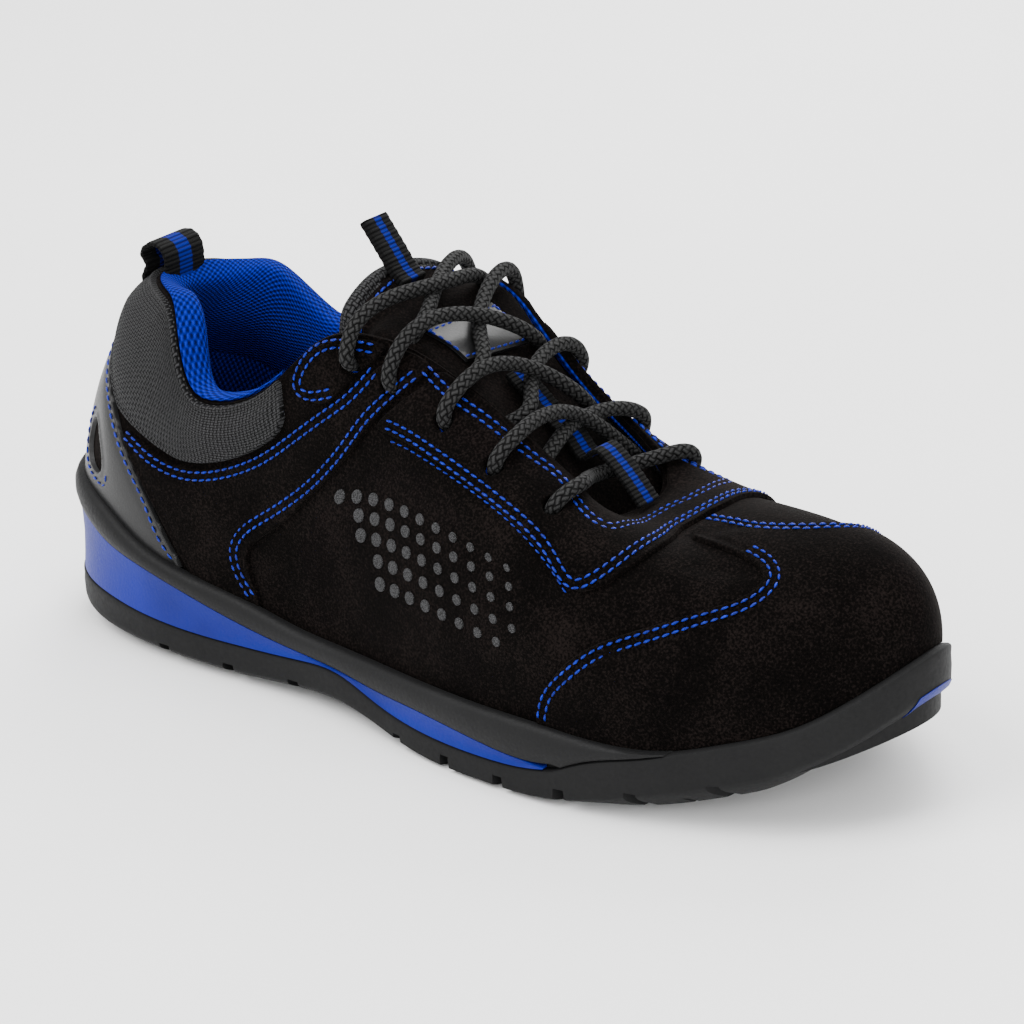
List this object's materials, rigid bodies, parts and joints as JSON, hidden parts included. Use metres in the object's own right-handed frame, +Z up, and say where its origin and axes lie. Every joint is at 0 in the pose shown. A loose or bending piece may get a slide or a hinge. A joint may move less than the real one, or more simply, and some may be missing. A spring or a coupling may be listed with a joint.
{
  "type": "safety sneaker",
  "caption": "Low laced work shoe with suede panels, a padded collar, a layered sole and a lugged tread; hollow and open at the collar.",
  "frame": {"origin": "centre of the bounding box in plan, on the floor under the sole", "axes": "+X towards the toe, +Y towards the inner side of a right foot, +Z up"},
  "size_m": [0.288, 0.1041, 0.1354],
  "materials": {
    "black_rubber": "matt moulded rubber",
    "black_foam": "finely textured moulded foam",
    "blue_foam": "matt blue moulded foam",
    "insole_fabric": "woven cloth over foam",
    "black_suede": "suede with a short nap and blue stitching",
    "grey_trim": "smooth coated trim, slightly glossy",
    "grey_cordura": "basket-woven textile",
    "blue_mesh": "spacer mesh with small holes",
    "black_webbing": "ribbed tape with a blue middle stripe",
    "black_lace": "round braided cord"
  },
  "bodies": {
    "root": {"outsole": "black_rubber", "midsole": "black_foam", "midsole_band": "blue_foam", "toe_insert": "blue_foam", "insole": "insole_fabric", "upper": "black_suede", "toe_overlay": "black_suede", "eyestay": "black_suede", "eyestay_tip_outer": "black_suede", "eyestay_tip_inner": "black_suede", "quarter_outer": "black_suede", "quarter_inner": "black_suede", "heel_counter": "grey_trim", "collar_panel": "grey_cordura", "collar_lining": "blue_mesh", "tongue": "black_suede", "tongue_patch": "grey_trim", "heel_loop": "black_webbing", "tongue_loop": "black_webbing", "lace_cross_1": "black_lace", "lace_cross_2": "black_lace", "lace_cross_3": "black_lace", "lace_cross_4": "black_lace", "lace_bar": "black_lace", "lace_keeper": "black_webbing"}
  },
  "joints": []
}
